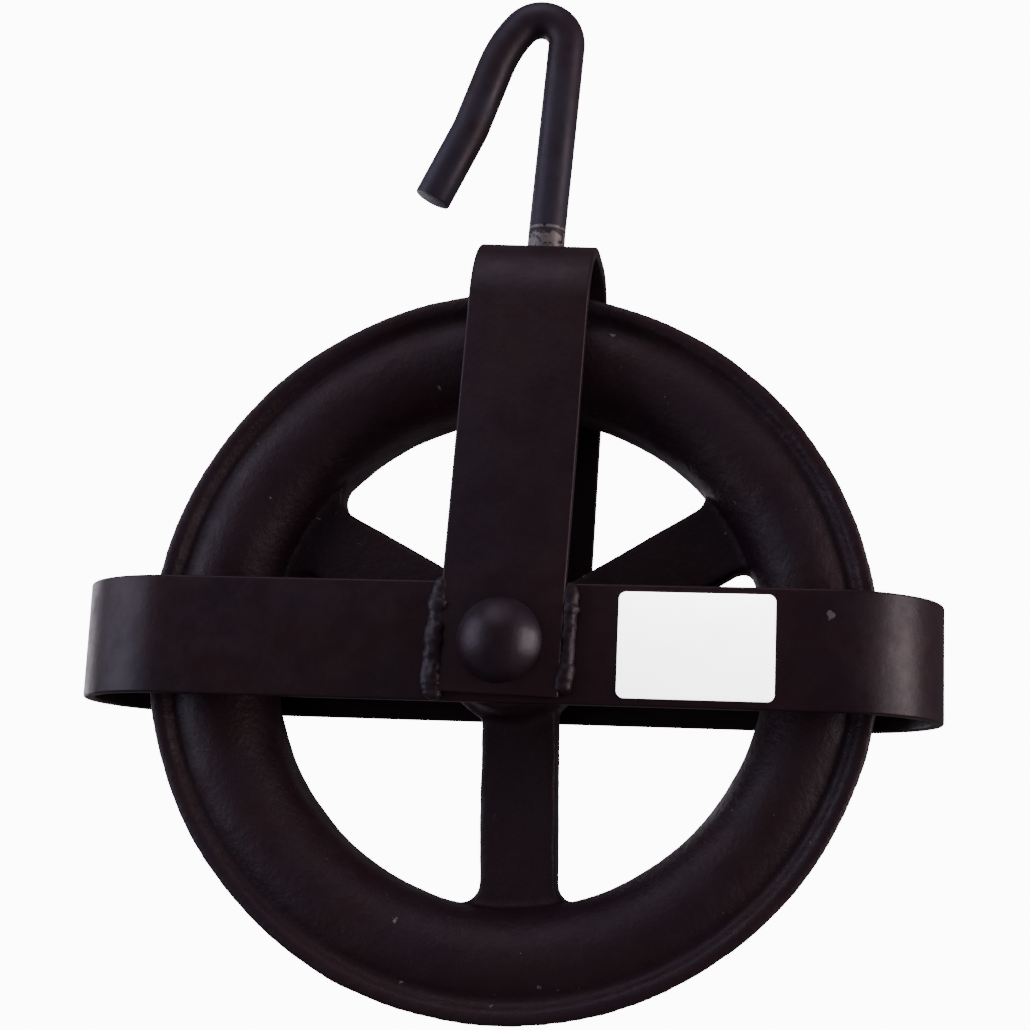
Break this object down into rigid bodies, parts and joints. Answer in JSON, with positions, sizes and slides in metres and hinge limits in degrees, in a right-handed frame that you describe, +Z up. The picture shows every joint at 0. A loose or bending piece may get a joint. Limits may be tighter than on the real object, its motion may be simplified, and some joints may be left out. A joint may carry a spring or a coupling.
{
  "type": "pulley block",
  "caption": "Hanging rope pulley: a spoked iron sheave on a riveted axle in a flat-bar yoke, with a guard band round the rim and a swivel hook on top.",
  "frame": {"origin": "seat of the hook, inside its tight bend, where the supporting bar or ring bears", "axes": "+Z up, opposite to the load; Y along the axle, with the rivet's button head and the label on the -Y side; X along the guard band, with the hook's mouth towards -X"},
  "size_m": [0.2429, 0.0859, 0.2976],
  "materials": {
    "painted_hook": "satin black paint on round bar",
    "painted_bar": "satin black paint on flat bar",
    "painted_weld": "satin black paint over weld beads",
    "painted_rivet": "satin black paint",
    "sheave_iron": "satin black paint over a rough casting",
    "bare_steel": "bare steel",
    "bush_bronze": "bearing bronze",
    "label": "glossy white sticker, left blank"
  },
  "bodies": {
    "hook": {"hook": "painted_hook", "swivel_washer": "bare_steel"},
    "frame": {"yoke": "painted_bar", "guard_band": "painted_bar", "weld_front_left": "painted_weld", "weld_front_right": "painted_weld", "weld_back_left": "painted_weld", "weld_back_right": "painted_weld", "label": "label", "axle_rivet": "painted_rivet", "peen_washer": "painted_bar", "thrust_washer_front": "bare_steel", "thrust_washer_back": "bare_steel"},
    "sheave": {"sheave": "sheave_iron", "hub_bush": "bush_bronze"}
  },
  "joints": [
    {"name": "hook_swivel", "type": "hinge", "parent": "hook", "child": "frame", "pos_m": [0.00626, 0, -0.0684], "axis": [0, 0, 1], "continuous": true},
    {"name": "sheave_spin", "type": "hinge", "parent": "frame", "child": "sheave", "pos_m": [0.00626, 0, -0.1859], "axis": [0, 1, 0], "continuous": true}
  ]
}
